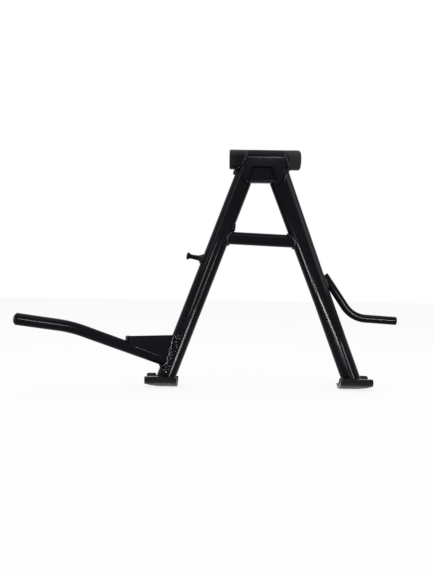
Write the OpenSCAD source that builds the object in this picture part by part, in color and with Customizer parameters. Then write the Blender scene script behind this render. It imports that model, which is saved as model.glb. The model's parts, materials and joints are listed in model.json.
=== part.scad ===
// Centre stand of a motorcycle, a weldment of tubes, bars and pressed plates.
// Millimetres. The origin is the middle of the pivot bore, +X runs along the bore to the stop rod's
// side, +Y points forward on the machine, away from the lever's tip, and +Z points up.
// The stand is drawn as it stands when it holds the machine up: legs down, soles on the ground.

/* [Stand] */
// Height of the pivot's centre above the soles
stand_h = 305; // [260:1:340]
// Sideways place of the legs' middle from the pivot tube's middle
leg_shift = -4.35; // [-8:0.05:2]

/* [Pivot tube] */
// Outer diameter of the pivot tube
pivot_tube_d = 26.5; // [25:0.5:32]
// Length of the pivot tube
pivot_tube_l = 95; // [88:1:130]
// Diameter of the shaft that the stand swings on
pivot_shaft_d = 17; // [12:0.5:18]
// Difference between the bore and the shaft
pivot_clearance = 0.3; // [0.1:0.1:0.6]
// Chamfer at the tube's left end
pivot_left_chamfer = 1.2; // [0.5:0.1:2]
// Chamfer at the tube's right end
pivot_right_chamfer = 2.6; // [0.5:0.1:3]

/* [Legs] */
// Outer diameter of a leg tube
leg_d = 25; // [22:0.5:26]
// Wall of a leg tube
leg_wall = 2; // [1.2:0.1:3]
// Lean of each leg from upright
leg_angle = 20.45; // [18:0.05:22]
// Clear gap between the legs at the level of the pivot's centre
leg_gap = 0.4; // [0.2:0.1:5]
// Width of the right leg at its spread upper end
right_leg_head_w = 30.3; // [26:0.1:33]
// Depth of the right leg at its spread upper end
right_leg_head_t = 22; // [20:0.1:25]
// Length of the right leg over which it comes back to round
right_leg_taper = 200; // [120:1:220]
// Diameter of the vent hole in the right leg
vent_d = 3; // [2:0.5:5]
// Depth of the vent hole below the pivot's centre
vent_drop = 208.5; // [190:0.5:230]

/* [Cross brace] */
// Outer diameter of the brace tube
brace_d = 17; // [12:0.5:20]
// Wall of the brace tube
brace_wall = 2; // [1.2:0.1:3]
// Depth of the brace's middle below the pivot's centre
brace_drop = 106.8; // [95:0.1:125]
// Tilt of the brace, lower on the right
brace_skew = 2.3; // [0:0.1:4]

/* [Head plate] */
// Thickness of the pressed head plate
plate_t = 2.5; // [2:0.1:3.5]
// Width of the plate's upper edge beyond the legs' spacing at the pivot
plate_top_extra = 13.1; // [6:0.1:18]
// Width of the plate beyond that spacing where it is widest
plate_mid_extra = 28.1; // [20:0.1:32]
// Depth of that widest level below the pivot's centre
plate_mid_drop = 5.3; // [3:0.1:8]
// Width of the plate's lower edge beyond that spacing
plate_low_extra = 16.1; // [10:0.1:26]
// Angle above the front of the tube that the plate wraps up to
plate_wrap_top = 47; // [30:1:60]
// Angle below the front of the tube that the plate wraps down to
plate_wrap_low = 50; // [45:1:60]
// Backward lean of the plate's skirt
plate_lean = 2; // [0:0.5:4]
// Depth of the plate's lower edge below the pivot's centre
plate_drop = 33; // [29:0.5:40]
// Height of the lip along the lower edge of the plate's hollow
plate_lip = 2.5; // [1.5:0.1:4]
// Distance of the hollow's sides from the legs' axes, towards the middle
recess_inset = 6.3; // [4:0.1:9]

/* [Lever] */
// Diameter of the lever bar
lever_d = 15; // [12:0.5:16]
// Height of the lever's root, on the leg's axis, above the soles
lever_root_h = 31.5; // [28:0.5:42]
// Swing of the lever towards the rear
lever_yaw = 29; // [15:1:40]
// Rise of the lever's inner straight
lever_rise = 19.9; // [16:0.1:24]
// Rise of the lever's outer straight
lever_tip_rise = 8.6; // [4:0.1:14]
// Level distance from the root to the lever's bend
lever_run = 138.7; // [110:0.1:160]
// Level distance from the bend to the tip
lever_tip_run = 71; // [50:0.1:90]
// Radius of the bend, on the bar's axis
lever_bend_r = 165; // [80:1:220]
// Rounding of the tip's edge
lever_tip_round = 5; // [2:0.5:5.5]

/* [Lever gusset] */
// Thickness of the gusset plate
gusset_t = 4; // [3:0.1:5]
// Height of the gusset's top edge above the soles
gusset_top_h = 69; // [66:0.5:76]
// Level length of the gusset from the lever's root
gusset_l = 64.5; // [56:0.5:80]
// Distance of the gusset's middle in front of the lever's axis
gusset_offset = 5; // [2:0.1:5.5]
// Outer radius of the bend at the gusset's free end
gusset_bend_r = 6; // [5.5:0.1:8]
// Length of the flange behind that bend
gusset_flange = 6; // [3:0.5:8]
// Radius of the gusset's upper corner
gusset_corner_r = 2.5; // [1:0.1:4]

/* [Stop rod] */
// Diameter of the stop rod
stop_d = 11; // [8:0.5:12]
// Depth of the rod's upper end below the pivot's centre
stop_drop = 153; // [140:0.5:165]
// Sideways distance of that end from the right leg's axis
stop_offset = 14.6; // [13.5:0.1:16]
// Distance of the rod in front of the legs' plane, towards +Y
stop_depth = 5; // [2:0.5:8]
// Fall of the rod's upper straight below level
stop_fall = 55.9; // [50:0.1:60]
// Fall of the rod's outer straight below level
stop_foot_fall = 3.5; // [0:0.1:10]
// Length from the upper end to the bend's corner
stop_l = 68.5; // [60:0.1:85]
// Length from the bend's corner to the cut end
stop_foot_l = 59.5; // [40:0.1:75]
// Radius of the bend, on the rod's axis
stop_bend_r = 36; // [25:1:45]

/* [Spring hook] */
// Diameter of the hook's shank
hook_d = 6.6; // [5:0.1:8]
// Diameter of the hook's head
hook_head_d = 9.6; // [8.5:0.1:14]
// Thickness of the head
hook_head_t = 3.6; // [2:0.1:5]
// Rounding of the head's outer edge
hook_head_round = 0.9; // [0.3:0.1:1.5]
// Length that stands out from the leg
hook_l = 21; // [16:0.5:30]
// Depth on the left leg's axis below the pivot's centre
hook_drop = 136; // [125:0.5:165]
// Tilt of the hook above level
hook_tilt = 11; // [0:0.5:20]
// Diameter of the weld cone at its root
hook_weld_d = 12; // [10:0.5:14]
// Length of that cone
hook_weld_l = 5.5; // [3:0.5:8]
// Thickness of the cone at its outer end
hook_weld_edge = 0.5; // [0.3:0.1:0.9]

/* [Feet] */
// Width of a foot plate
foot_w = 43; // [40:0.5:60]
// Depth of a foot plate, front to back
foot_depth = 46; // [42:0.5:48]
// Outer radius that a foot plate is rolled to
foot_r = 25; // [24.5:0.5:32]
// Thickness of a foot plate
foot_t = 4.5; // [3:0.1:6]
// Height of a foot plate's front and rear rims above the sole
foot_h = 15.5; // [13:0.1:18]
// Radius of a foot plate's corners in plan
foot_corner_r = 3.5; // [1:0.5:8]
// Radius that the sole is crowned to, end to end
foot_crown_r = 100; // [80:5:300]
// Distance of the sole's lowest line from the foot's middle, towards the other leg
foot_crown_shift = 9; // [0:0.5:12]
// Distance outside the leg's axis at which the rear rim starts
rear_rim_start = 15.5; // [14.5:0.1:18]
// Clearance between the leg's bead and the foot's cut rear edge
rear_edge_clear = 0.5; // [0.2:0.1:2]
// Length of the low tongue at the right foot's inner end
tongue_l = 3; // [1.5:0.1:4]
// Height of that tongue above the sole
tongue_h = 5.6; // [5:0.1:9]
// Outward shift of the left foot from its leg
left_foot_shift = 10.4; // [6:0.1:13]
// Outward shift of the right foot from its leg
right_foot_shift = 9; // [6:0.1:12]

/* [Welds] */
// Leg of the weld beads
weld = 3; // [2:0.1:4]
// Leg of the heavier beads at the lever
lever_weld = 3.5; // [2.5:0.1:4.5]
// Thickness of the flat beads along the gusset's foot and the stop rod
seam_weld = 1.5; // [1:0.1:2]
// Depth of the head plate's beads' lower ends below the pivot's centre
plate_weld_drop = 6.6; // [4:0.1:8]
// Depth of the legs' upper beads' upper ends below the pivot's centre
head_weld_drop = 4.2; // [3:0.1:6]

/* [Hidden] */
$fn = 96;
paint = "#17171b";
weld_paint = "#1d1d22";
// Overshoot of cutting shapes past the faces they cut
over = 1;
// Overlap of a bent bar's straights with its bend, and how much thinner the bend is
bend_lap = 0.5;
bend_thinning = 0.2;
// A size that reaches past everything it is cut with
far = 3 * stand_h;
left = -1;
right = 1;

pivot_r = pivot_tube_d / 2;
bore_d = pivot_shaft_d + pivot_clearance;
leg_r = leg_d / 2;
leg_spacing = (leg_r + right_leg_head_w / 2) / cos(leg_angle) + leg_gap;
leg_length = stand_h / cos(leg_angle) + leg_d;
foot_axis_z = foot_r - stand_h;
foot_inner_r = foot_r - foot_t;
foot_top_z = foot_h - stand_h;
foot_crown_z = foot_crown_r - stand_h;
hull_fn = 48;

// Place of a leg's axis at a height, on the given side
function leg_x(side, z) = leg_shift + side * (leg_spacing / 2 - z * tan(leg_angle));
function foot_x(side) =
    leg_x(side, foot_axis_z) + side * (side == left ? left_foot_shift : right_foot_shift);

// Stands the children on a leg's axis, with the leg running down from the pivot's centre
module on_leg(side) {
    translate([leg_x(side, 0), 0, 0])
        rotate([0, -side * leg_angle, 0])
            children();
}

// A bar that runs along +X, then turns towards -Z through an angle and runs on
// The bend is a hair thinner than the straights, which close over its two ends
module bent_bar(d, first, bend_r, turn, second, tip_round) {
    rotate([0, 90, 0])
        cylinder(d = d, h = first + bend_lap);
    translate([first, 0, -bend_r])
        rotate([90, 0, 0])
            rotate([0, 0, 90 - turn])
                rotate_extrude(angle = turn)
                    translate([bend_r, 0])
                        circle(d = d - bend_thinning);
    translate([first + bend_r * sin(turn), 0, bend_r * (cos(turn) - 1)])
        rotate([0, 90 + turn, 0])
            translate([0, 0, -bend_lap])
                rounded_bar(d, second + bend_lap, tip_round);
}

// A bar along +Z whose far edge is rounded
module rounded_bar(d, h, edge_r) {
    if (edge_r > 0)
        rotate_extrude() {
            square([d / 2, h - edge_r]);
            square([d / 2 - edge_r, h]);
            intersection() {
                translate([d / 2 - edge_r, h - edge_r])
                    circle(r = edge_r);
                translate([0, h - edge_r])
                    square([d / 2, edge_r]);
            }
        }
    else
        cylinder(d = d, h = h);
}

module rounded_rect(w, d, r) {
    square([w - 2 * r, d], center = true);
    square([w, d - 2 * r], center = true);
    for (sx = [-1, 1], sy = [-1, 1])
        translate([sx * (w / 2 - r), sy * (d / 2 - r)])
            circle(r = r);
}

// Pivot tube

// The tube's outside, larger by a margin and without its chamfers
module pivot_shape(margin = 0) {
    rotate([0, 90, 0])
        cylinder(r = pivot_r + margin, h = pivot_tube_l, center = true);
}

module pivot_tube() {
    color(paint)
        rotate([0, 90, 0])
            translate([0, 0, -pivot_tube_l / 2])
                difference() {
                    union() {
                        cylinder(r1 = pivot_r - pivot_left_chamfer, r2 = pivot_r,
                                 h = pivot_left_chamfer);
                        translate([0, 0, pivot_left_chamfer])
                            cylinder(r = pivot_r,
                                     h = pivot_tube_l - pivot_left_chamfer - pivot_right_chamfer);
                        translate([0, 0, pivot_tube_l - pivot_right_chamfer])
                            cylinder(r1 = pivot_r, r2 = pivot_r - pivot_right_chamfer,
                                     h = pivot_right_chamfer);
                    }
                    translate([0, 0, -over])
                        cylinder(d = bore_d, h = pivot_tube_l + 2 * over);
                }
}

// Legs

// One leg's outside, larger by a margin; the right one is spread wide at its top
module leg_shape(side, margin = 0) {
    on_leg(side)
        if (side == left) {
            translate([0, 0, -leg_length])
                cylinder(r = leg_r + margin, h = leg_length);
        } else {
            translate([0, 0, -leg_length])
                cylinder(r = leg_r + margin, h = leg_length - right_leg_taper);
            hull() {
                translate([0, 0, -over])
                    linear_extrude(over)
                        scale([(right_leg_head_w + 2 * margin) / leg_d,
                               (right_leg_head_t + 2 * margin) / leg_d])
                            circle(d = leg_d, $fn = hull_fn);
                translate([0, 0, -right_leg_taper])
                    cylinder(r = leg_r + margin, h = over, $fn = hull_fn);
            }
        }
}

// Everything above a height
module above(z) {
    translate([-far / 2, -far / 2, z])
        cube([far, far, far]);
}

// The round that a foot's sole is crowned to, smaller by a margin
module crown_shape(side, margin = 0) {
    translate([foot_x(side) - side * foot_crown_shift, 0, foot_crown_z])
        rotate([90, 0, 0])
            cylinder(r = foot_crown_r - margin, h = far, center = true);
}

// The room above a foot's inner face, which a leg is trimmed to
module above_foot(side) {
    intersection() {
        union() {
            translate([0, 0, foot_axis_z])
                rotate([0, 90, 0])
                    cylinder(r = foot_inner_r, h = far, center = true);
            above(foot_axis_z);
        }
        union() {
            crown_shape(side, foot_t);
            above(foot_crown_z);
        }
    }
}

module leg(side) {
    color(paint)
        difference() {
            intersection() {
                leg_shape(side);
                above_foot(side);
            }
            leg_shape(side, -leg_wall);
            pivot_shape();
            if (side == right)
                translate([leg_x(right, -vent_drop), -leg_r, -vent_drop])
                    rotate([90, 0, 0])
                        cylinder(d = vent_d, h = 2 * leg_r, center = true);
        }
}

module left_leg() {
    leg(left);
}

module right_leg() {
    leg(right);
}

// Cross brace

brace_reach = leg_x(right, -brace_drop) - leg_shift;

// The brace's outside from its middle out to a leg's axis and past it
module brace_half(side, margin = 0) {
    translate([leg_shift, 0, -brace_drop])
        rotate([0, 90 + brace_skew, 0])
            rotate([0, side == left ? 180 : 0, 0])
                cylinder(r = brace_d / 2 + margin, h = brace_reach);
}

module cross_brace() {
    color(paint)
        difference() {
            union() {
                brace_half(left);
                brace_half(right);
            }
            brace_half(left, -brace_wall);
            brace_half(right, -brace_wall);
            leg_shape(left);
            leg_shape(right);
        }
}

// A bead in the corner between a leg and the brace
module brace_weld(side) {
    color(weld_paint)
        difference() {
            intersection() {
                leg_shape(side, weld);
                brace_half(side, weld);
            }
            leg_shape(side);
            brace_half(side);
        }
}

module brace_left_weld() {
    brace_weld(left);
}

module brace_right_weld() {
    brace_weld(right);
}

// Head plate

plate_top_z = (pivot_r + plate_t) * sin(plate_wrap_top);
recess_top_z = -(pivot_r + plate_t) * sin(plate_wrap_low);
web_front_y = -(pivot_r + plate_t) * cos(plate_wrap_low);
plate_top_w = leg_spacing + plate_top_extra;
plate_mid_w = leg_spacing + plate_mid_extra;
plate_low_w = leg_spacing + plate_low_extra;

// Front view of the plate, wider by a margin on both sides, about the legs' middle low down
module plate_outline(margin = 0) {
    polygon([
        [-plate_top_w / 2 - margin, plate_top_z + over],
        [plate_top_w / 2 + margin, plate_top_z + over],
        [plate_mid_w / 2 + margin, -plate_mid_drop],
        [leg_shift + plate_low_w / 2 + margin, -plate_drop],
        [leg_shift - plate_low_w / 2 - margin, -plate_drop],
        [-plate_mid_w / 2 - margin, -plate_mid_drop]
    ]);
}

// Extrudes a front view drawn in X and Z, from one depth back to another
module front_view(from_y, to_y) {
    translate([0, to_y, 0])
        rotate([90, 0, 0])
            linear_extrude(to_y - from_y)
                children();
}

// Front view of the plate's hollow between the legs, larger by a margin
module recess_outline(margin = 0) {
    top = recess_top_z + margin;
    low = plate_lip - plate_drop - margin;
    polygon([
        [leg_x(left, top) + recess_inset - margin, top],
        [leg_x(right, top) - recess_inset + margin, top],
        [leg_x(right, low) - recess_inset + margin, low],
        [leg_x(left, low) + recess_inset - margin, low]
    ]);
}

// The wrap round the tube's front
module plate_wrap() {
    rotate([0, 90, 0])
        rotate([0, 0, 180 - plate_wrap_top])
            translate([0, 0, -pivot_tube_l / 2])
                linear_extrude(pivot_tube_l)
                    difference() {
                        intersection() {
                            circle(r = pivot_r + plate_t);
                            wedge(plate_wrap_top + plate_wrap_low);
                        }
                        circle(r = pivot_r);
                    }
}

// A pie slice up to 180 degrees wide, from +Y turning towards -X
module wedge(angle) {
    polygon([
        [0, 0],
        [0, far],
        [-far * tan(angle / 2), far],
        [-far * sin(angle), far * cos(angle)]
    ]);
}

// The skirt that hangs from the wrap in front of the legs
module plate_skirt() {
    rotate([-plate_lean, 0, 0])
        translate([-pivot_tube_l / 2, -pivot_r - plate_t, -plate_drop - plate_t])
            cube([pivot_tube_l, plate_t, plate_drop + plate_t]);
}

// The plate before its hollow is pressed
module plate_blank() {
    intersection() {
        union() {
            plate_wrap();
            plate_skirt();
        }
        front_view(-far, 0)
            plate_outline();
    }
}

module head_plate() {
    color(paint)
        difference() {
            union() {
                intersection() {
                    union() {
                        plate_wrap();
                        difference() {
                            plate_skirt();
                            front_view(-far, 0)
                                recess_outline();
                        }
                    }
                    front_view(-far, 0)
                        plate_outline();
                }
                intersection() {
                    difference() {
                        front_view(-pivot_r - plate_t, web_front_y + plate_t)
                            recess_outline(plate_t);
                        front_view(-far, web_front_y)
                            recess_outline();
                    }
                    front_view(-far, 0)
                        plate_outline();
                }
            }
            pivot_shape();
            leg_shape(left);
            leg_shape(right);
        }
}

// The bead along one sloping edge of the plate on the pivot tube
module head_plate_weld(side) {
    color(weld_paint)
        difference() {
            intersection() {
                pivot_shape(plate_t);
                front_view(-far, 0)
                    plate_outline(weld);
                translate([side == left ? -far : 0, -far, -plate_weld_drop])
                    cube([far, far, plate_weld_drop + plate_top_z]);
            }
            front_view(-far, 0)
                plate_outline();
            pivot_shape();
            leg_shape(side);
        }
}

module head_plate_left_weld() {
    head_plate_weld(left);
}

module head_plate_right_weld() {
    head_plate_weld(right);
}

// The bead round a leg's upper end, under the pivot tube and behind the plate
module leg_head_weld(side) {
    color(weld_paint)
        difference() {
            intersection() {
                pivot_shape(weld);
                leg_shape(side, weld);
                translate([-far / 2, -pivot_r, -far - head_weld_drop])
                    cube([far, far, far]);
            }
            pivot_shape();
            leg_shape(left);
            leg_shape(right);
            plate_blank();
            head_plate_weld(side);
            front_view(-far, web_front_y + plate_t)
                recess_outline(plate_t);
        }
}

module left_leg_head_weld() {
    leg_head_weld(left);
}

module right_leg_head_weld() {
    leg_head_weld(right);
}

// Lever

lever_turn = lever_rise - lever_tip_rise;
lever_tangent = lever_bend_r * tan(lever_turn / 2);
lever_first = lever_run / cos(lever_rise) - lever_tangent;
lever_second = lever_tip_run / cos(lever_tip_rise) - lever_tangent;
lever_root_z = lever_root_h - stand_h;

// The lever's own frame: X runs outwards along it, Y to the rear and Z up
module on_lever() {
    translate([leg_x(left, lever_root_z), 0, lever_root_z])
        rotate([0, 0, 180 + lever_yaw])
            children();
}

module lever_shape() {
    on_lever()
        rotate([0, -lever_rise, 0])
            bent_bar(lever_d, lever_first, lever_bend_r, lever_turn, lever_second,
                     lever_tip_round);
}

// The inner straight of the bar alone, larger by a margin, which its neighbours are cut to
module lever_root(margin = 0) {
    on_lever()
        rotate([0, 90 - lever_rise, 0])
            cylinder(r = lever_d / 2 + margin, h = lever_first);
}

module lever_bar() {
    color(paint)
        difference() {
            lever_shape();
            leg_shape(left);
        }
}

// The bead round the lever's root
module lever_weld_bead() {
    color(weld_paint)
        difference() {
            intersection() {
                leg_shape(left, lever_weld);
                lever_root(lever_weld);
                above_foot(left);
            }
            leg_shape(left);
            lever_root();
            gusset_blank();
        }
}

// Lever gusset

gusset_top_z = gusset_top_h - lever_root_h;
gusset_front = gusset_offset + gusset_t / 2;

// Plan of the plate with its bent free end
module gusset_plan() {
    bend_y = gusset_front - gusset_bend_r;
    translate([0, gusset_front - gusset_t])
        square([gusset_l - gusset_bend_r, gusset_t]);
    translate([gusset_l - gusset_bend_r, bend_y])
        difference() {
            intersection() {
                circle(r = gusset_bend_r);
                square(gusset_bend_r);
            }
            circle(r = gusset_bend_r - gusset_t);
        }
    translate([gusset_l - gusset_t, bend_y - gusset_flange])
        square([gusset_t, gusset_flange]);
}

// Side view of the plate: level on top, and down to the bar's axis below
module gusset_side() {
    difference() {
        polygon([
            [0, 0],
            [0, gusset_top_z],
            [gusset_l + over, gusset_top_z],
            [gusset_l + over, (gusset_l + over) * tan(lever_rise)]
        ]);
        translate([gusset_l - gusset_corner_r, gusset_top_z - gusset_corner_r])
            difference() {
                square(2 * gusset_corner_r);
                circle(r = gusset_corner_r);
            }
    }
}

module gusset_blank() {
    on_lever()
        intersection() {
            linear_extrude(gusset_top_z)
                gusset_plan();
            translate([0, far / 2, 0])
                rotate([90, 0, 0])
                    linear_extrude(far)
                        gusset_side();
        }
}

module lever_gusset() {
    color(paint)
        difference() {
            gusset_blank();
            lever_root();
            leg_shape(left);
        }
}

// The bead between the gusset and the leg
module gusset_leg_weld() {
    color(weld_paint)
        difference() {
            intersection() {
                leg_shape(left, lever_weld);
                on_lever()
                    translate([0, gusset_front - gusset_t - lever_weld, lever_d / 2])
                        cube([gusset_l, gusset_t + 2 * lever_weld, gusset_top_z - lever_d / 2]);
            }
            leg_shape(left);
            lever_root(lever_weld);
            gusset_blank();
        }
}

// The bead along the gusset's foot, in front of the bar
module gusset_bar_weld() {
    color(weld_paint)
        difference() {
            intersection() {
                lever_root(seam_weld);
                on_lever()
                    translate([0, gusset_front, 0])
                        cube([gusset_l - gusset_bend_r, weld, gusset_top_z]);
            }
            lever_root();
            leg_shape(left, lever_weld);
        }
}

// Stop rod

stop_turn = stop_fall - stop_foot_fall;
stop_seat_s = stop_drop / cos(leg_angle);
stop_seat_r = leg_r + (right_leg_head_w - leg_d) / 2 * max(0, 1 - stop_seat_s / right_leg_taper);
stop_tangent = stop_bend_r * tan(stop_turn / 2);

module stop_shape() {
    translate([leg_x(right, -stop_drop) + stop_offset, stop_depth, -stop_drop])
        rotate([0, stop_fall, 0])
            mirror([0, 0, 1])
                bent_bar(stop_d, stop_l - stop_tangent, stop_bend_r, stop_turn,
                         stop_foot_l - stop_tangent, 0);
}

// The rod's upper straight alone, larger by a margin
module stop_straight(margin = 0) {
    translate([leg_x(right, -stop_drop) + stop_offset, stop_depth, -stop_drop])
        rotate([0, 90 + stop_fall, 0])
            cylinder(r = stop_d / 2 + margin, h = stop_l - stop_tangent);
}

// The round face of the right leg that the rod's upper end is cut to
module stop_seat(margin = 0) {
    on_leg(right)
        translate([0, 0, -leg_length])
            cylinder(r = stop_seat_r + margin, h = leg_length);
}

module stop_rod() {
    color(paint)
        difference() {
            stop_shape();
            stop_seat();
        }
}

// The bead along the rod's upper end
module stop_rod_weld() {
    color(weld_paint)
        difference() {
            intersection() {
                stop_seat(weld);
                stop_straight(seam_weld);
            }
            stop_seat();
            stop_straight();
        }
}

// Spring hook

// The hook's own frame: Z runs outwards from the left leg's axis
module on_hook() {
    translate([leg_x(left, -hook_drop), 0, -hook_drop])
        rotate([0, hook_tilt - 90, 0])
            children();
}

module hook_shape() {
    on_hook() {
        cylinder(d = hook_d, h = leg_r + hook_l);
        translate([0, 0, leg_r + hook_l - hook_head_t])
            rounded_bar(hook_head_d, hook_head_t, hook_head_round);
    }
}

module spring_hook() {
    color(paint)
        difference() {
            hook_shape();
            leg_shape(left);
        }
}

module spring_hook_weld() {
    color(weld_paint)
        difference() {
            on_hook() {
                cylinder(d = hook_weld_d, h = leg_r);
                translate([0, 0, leg_r])
                    cylinder(d1 = hook_weld_d, d2 = hook_d + 2 * hook_weld_edge, h = hook_weld_l);
            }
            leg_shape(left);
            hook_shape();
        }
}

// Feet

// The plan of a foot plate, drawn down through it
module foot_column(side) {
    translate([foot_x(side), 0, -far])
        linear_extrude(far)
            rounded_rect(foot_w, foot_depth, foot_corner_r);
}

// The cut that leaves the rear rim standing outside the leg alone
module rear_cut(side) {
    start = leg_x(side, foot_top_z) + side * rear_rim_start;
    translate([side == left ? start : start - far, leg_r + weld + rear_edge_clear, -far])
        cube([far, far, far]);
}

// The cut that leaves a low tongue at the right foot's inner end
module tongue_cut() {
    translate([foot_x(right) - foot_w / 2 + tongue_l - far, -leg_r - weld, tongue_h - stand_h])
        cube([far, far, far]);
}

module foot(side) {
    color(paint)
        difference() {
            intersection() {
                translate([0, 0, foot_axis_z])
                    rotate([0, 90, 0])
                        cylinder(r = foot_r, h = far, center = true);
                foot_column(side);
                crown_shape(side);
                translate([-far / 2, -far / 2, foot_top_z - far])
                    cube([far, far, far]);
            }
            above_foot(side);
            rear_cut(side);
            if (side == right)
                tongue_cut();
        }
}

module left_foot() {
    foot(left);
}

module right_foot() {
    foot(right);
}

// The bead between a leg and the inside of its foot
module foot_weld(side) {
    color(weld_paint)
        difference() {
            intersection() {
                above_foot(side);
                leg_shape(side, weld);
                foot_column(side);
                translate([-far / 2, -far / 2, foot_top_z - far])
                    cube([far, far, far]);
            }
            translate([0, 0, foot_axis_z])
                rotate([0, 90, 0])
                    cylinder(r = foot_inner_r - weld, h = far, center = true);
            leg_shape(side);
        }
}

module left_foot_weld() {
    foot_weld(left);
}

module right_foot_weld() {
    foot_weld(right);
}

pivot_tube();
left_leg();
right_leg();
cross_brace();
head_plate();
lever_bar();
lever_gusset();
stop_rod();
spring_hook();
left_foot();
right_foot();
left_leg_head_weld();
right_leg_head_weld();
head_plate_left_weld();
head_plate_right_weld();
brace_left_weld();
brace_right_weld();
lever_weld_bead();
gusset_leg_weld();
gusset_bar_weld();
stop_rod_weld();
spring_hook_weld();
left_foot_weld();
right_foot_weld();
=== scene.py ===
import json
import math
import random

import bmesh
import bpy
from mathutils import Matrix, Vector, noise

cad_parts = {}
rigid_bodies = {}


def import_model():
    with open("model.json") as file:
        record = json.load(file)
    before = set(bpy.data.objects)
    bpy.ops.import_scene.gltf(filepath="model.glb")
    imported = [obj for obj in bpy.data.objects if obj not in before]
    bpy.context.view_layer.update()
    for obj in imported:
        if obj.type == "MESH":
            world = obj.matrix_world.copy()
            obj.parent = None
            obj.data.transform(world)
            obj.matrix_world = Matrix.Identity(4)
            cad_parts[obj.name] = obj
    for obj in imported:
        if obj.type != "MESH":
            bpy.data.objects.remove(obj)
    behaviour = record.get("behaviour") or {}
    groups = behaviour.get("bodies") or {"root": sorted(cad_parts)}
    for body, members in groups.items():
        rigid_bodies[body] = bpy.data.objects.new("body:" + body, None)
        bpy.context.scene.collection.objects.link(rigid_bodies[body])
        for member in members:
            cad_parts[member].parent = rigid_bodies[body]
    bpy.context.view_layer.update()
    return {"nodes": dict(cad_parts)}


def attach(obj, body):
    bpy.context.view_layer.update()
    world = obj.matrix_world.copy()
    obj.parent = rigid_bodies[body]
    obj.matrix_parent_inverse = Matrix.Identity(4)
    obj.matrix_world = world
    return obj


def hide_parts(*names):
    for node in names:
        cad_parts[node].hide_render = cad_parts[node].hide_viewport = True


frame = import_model()
print("frame loaded:", len(frame["nodes"]), "nodes")

# Pieces are modelled in millimetres and brought to metres when they are finished
mm = 0.001
left = -1
right = 1

stand = {
    "height": 305.0,
    "legShift": -4.35,
    "legLean": math.radians(20.45),
    "legGap": 0.4,
    "legRadius": 12.5,
    "spreadHalfWidth": 15.15,  # the right leg's upper end
    "spreadHalfDepth": 11.0,
    "spreadLength": 200.0,
    "pivotRadius": 13.25,
    "footRadius": 25.0,
}
leanSin = math.sin(stand["legLean"])
leanCos = math.cos(stand["legLean"])
legSpacing = (stand["legRadius"] + stand["spreadHalfWidth"]) / leanCos + stand["legGap"]
footAxisZ = stand["footRadius"] - stand["height"]  # the axis that the feet are rolled round
rearward = Vector((0, 1, 0))


# places on the stand

def axes(origin, x, y, z):
    place = Matrix((x, y, z)).transposed().to_4x4()
    place.translation = origin
    return place


def legX(side, z):
    return stand["legShift"] + side * (legSpacing / 2 - z * leanSin / leanCos)


def legPlace(side, slant):
    # Z runs down the leg's axis, X across it in the stand's plane and Y towards the viewer
    z = -slant * leanCos
    across = Vector((leanCos, 0, side * leanSin))
    down = Vector((side * leanSin, 0, -leanCos))
    return axes(Vector((legX(side, z), 0, z)), across, -rearward, down)


def legHalves(side, slant):
    # half width and half depth of a leg at a distance down its axis
    share = max(0.0, min(1.0, 1 - slant / stand["spreadLength"])) if side == right else 0.0
    r = stand["legRadius"]
    return r + (stand["spreadHalfWidth"] - r) * share, r + (stand["spreadHalfDepth"] - r) * share


def insideLeg(side, point, margin=0.0):
    local = legPlace(side, 0).inverted() @ Vector(point)
    halfW, halfD = legHalves(side, local.z)
    return (local.x / (halfW + margin)) ** 2 + (local.y / (halfD + margin)) ** 2 < 1


def legDirections(side, slant):
    # a place on the leg's axis, and the directions across the leg, to the rear and down it
    place = legPlace(side, slant)
    rotation = place.to_3x3()
    return (place.translation, rotation @ Vector((1, 0, 0)), rotation @ Vector((0, -1, 0)),
            rotation @ Vector((0, 0, 1)))


def insidePivot(point):
    return math.hypot(point[1], point[2]) < stand["pivotRadius"]


def meet(start, direction, reach, inside):
    # the point where a ray from outside first comes inside, or None
    step = 0.5
    travelled = 0.0
    while travelled < reach:
        if inside(start + direction * travelled):
            low, high = max(0.0, travelled - step), travelled
            for _ in range(18):
                middle = (low + high) / 2
                if inside(start + direction * middle):
                    high = middle
                else:
                    low = middle
            return start + direction * high
        travelled += step
    return None


# helpers for meshes

def sweepRing(bm, segments, stations, shape, capped=True):
    # extrudes a ring through the stations; shape(station, index) gives each vertex's place
    index = bm.verts.layers.int.get("ringIndex") or bm.verts.layers.int.new("ringIndex")
    ring = bmesh.ops.create_circle(bm, cap_ends=False, segments=segments, radius=1)["verts"]
    for i, v in enumerate(ring):
        v[index] = i
    members = set(ring)
    edges = [e for e in bm.edges if e.verts[0] in members and e.verts[1] in members]
    firstEdges = edges
    for count, station in enumerate(stations):
        if count > 0:
            made = bmesh.ops.extrude_edge_only(bm, edges=edges)["geom"]
            ring = [g for g in made if isinstance(g, bmesh.types.BMVert)]
            members = set(ring)
            edges = [g for g in made if isinstance(g, bmesh.types.BMEdge)
                     and g.verts[0] in members and g.verts[1] in members]
        for v in ring:
            v.co = shape(station, v[index])
    if capped:
        bmesh.ops.edgeloop_fill(bm, edges=firstEdges)
        bmesh.ops.edgeloop_fill(bm, edges=edges)


def ringPoint(place, halfX, halfY, index, segments):
    turn = 2 * math.pi * index / segments
    return place @ Vector((halfX * math.cos(turn), halfY * math.sin(turn), 0))


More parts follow.
